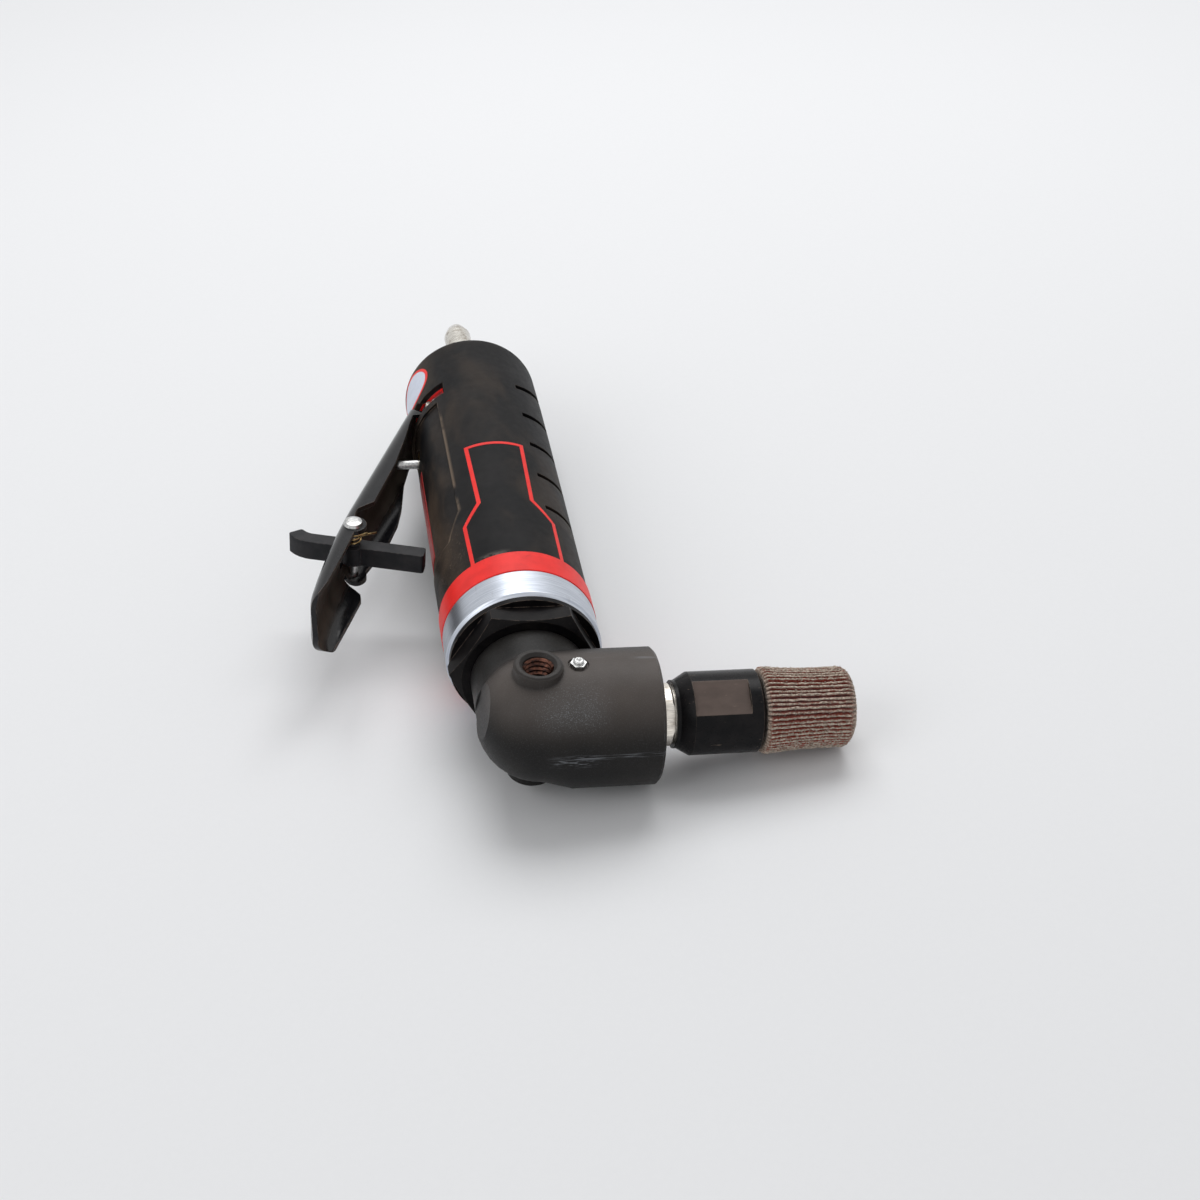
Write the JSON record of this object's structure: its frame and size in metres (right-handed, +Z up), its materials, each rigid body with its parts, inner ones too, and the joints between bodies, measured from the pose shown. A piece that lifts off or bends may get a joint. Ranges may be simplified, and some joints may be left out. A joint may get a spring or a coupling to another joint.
{
  "type": "right angle die grinder",
  "caption": "Air-driven right angle die grinder with a bevel gear head, collet and flap wheel, red-trimmed grip, throttle lever with lock-off tab and rear air plug.",
  "frame": {"origin": "on the table, under the middle of the footprint", "axes": "+Y rearward along the motor axis to the air plug, +X towards the spindle nose, +Z up from the table the tool lies on"},
  "size_m": [0.1226, 0.1928, 0.0363],
  "materials": {
    "black_anodised": "satin black, worn at the edges",
    "black_oxide": "black oxide",
    "black_enamel": "glossy black",
    "bright_steel": "ground",
    "turned_aluminium": "turned",
    "bearing_steel": "ground",
    "grip_rubber": "matte",
    "red_nylon": "matte",
    "abrasive_cloth": "worn abrasive",
    "hub_resin": "cast",
    "vane_phenolic": "matte",
    "brass": "turned",
    "seat_rubber": "moulded",
    "spring_wire": "drawn wire",
    "felt": "felt",
    "black_nylon": "moulded"
  },
  "bodies": {
    "housing": {"angle_head": "black_anodised", "grease_fitting": "bright_steel", "clamp_nut": "black_oxide", "neck_snap_ring": "bearing_steel", "pinion_bearing": "bearing_steel", "pinion_circlip": "black_oxide", "spindle_bearing": "bearing_steel", "spindle_needle_bearing": "bearing_steel", "bearing_retainer": "black_oxide", "motor_housing": "turned_aluminium", "front_end_plate": "bearing_steel", "rear_end_plate": "bearing_steel", "cylinder_liner": "bearing_steel", "liner_dowel": "bright_steel", "front_rotor_bearing": "bearing_steel", "rear_rotor_bearing": "bearing_steel", "wave_washer": "spring_wire", "valve_bush": "brass", "valve_seat": "seat_rubber", "valve_spring": "spring_wire", "valve_plug": "brass", "inlet_bush": "black_oxide", "inlet_screen": "brass", "air_plug": "bright_steel", "exhaust_ring": "black_nylon", "muffler_felt": "felt", "red_liner": "red_nylon", "grip_sleeve": "grip_rubber", "lever_pivot_pin": "bright_steel"},
    "rotor": {"rotor": "bearing_steel", "rotor_vanes": "vane_phenolic", "bevel_pinion": "bearing_steel"},
    "spindle": {"spindle": "bright_steel", "spindle_gear": "bearing_steel", "collet": "bright_steel", "collet_nut": "black_oxide", "flap_wheel_hub": "bright_steel", "flap_wheel_flaps": "abrasive_cloth"},
    "lever": {"throttle_lever": "black_enamel", "tab_rivet": "bright_steel", "tab_spring": "spring_wire"},
    "tab": {"lockoff_tab": "black_oxide"},
    "valve": {"valve_stem": "bright_steel"}
  },
  "joints": [
    {"name": "rotor_spin", "type": "hinge", "parent": "housing", "child": "rotor", "pos_m": [-0.00973, -0.02712, 0.01815], "axis": [0, 1, 0], "continuous": true},
    {"name": "spindle_spin", "type": "hinge", "parent": "housing", "child": "spindle", "pos_m": [0.00715, -0.08113, 0.01611], "axis": [0.9928, 0, -0.1199], "continuous": true},
    {"name": "lever_press", "type": "hinge", "parent": "housing", "child": "lever", "pos_m": [-0.02244, 0.03862, 0.01969], "axis": [0.1199, 0, 0.9928], "range_deg": [0, 6.5], "stiffness_Nm_per_rad": 1.5, "springref_deg": -2.86},
    {"name": "tab_swing", "type": "hinge", "parent": "lever", "child": "tab", "pos_m": [-0.04585, -0.01473, 0.02251], "axis": [-0.1199, 0, -0.9928], "range_deg": [0, 60.5], "deforming": ["tab_spring"]},
    {"name": "valve_slide", "type": "slide", "parent": "housing", "child": "valve", "axis": [0.9928, 0, -0.1199], "range_m": [0, 0.002], "deforming": ["valve_spring"]}
  ],
  "couplings": [
    {"joint": "spindle_spin", "follows": "rotor_spin", "ratio": -0.70588},
    {"joint": "tab_swing", "follows": "lever_press", "ratio": 9.2308},
    {"joint": "valve_slide", "follows": "lever_press", "m_per_rad": 0.01724}
  ]
}
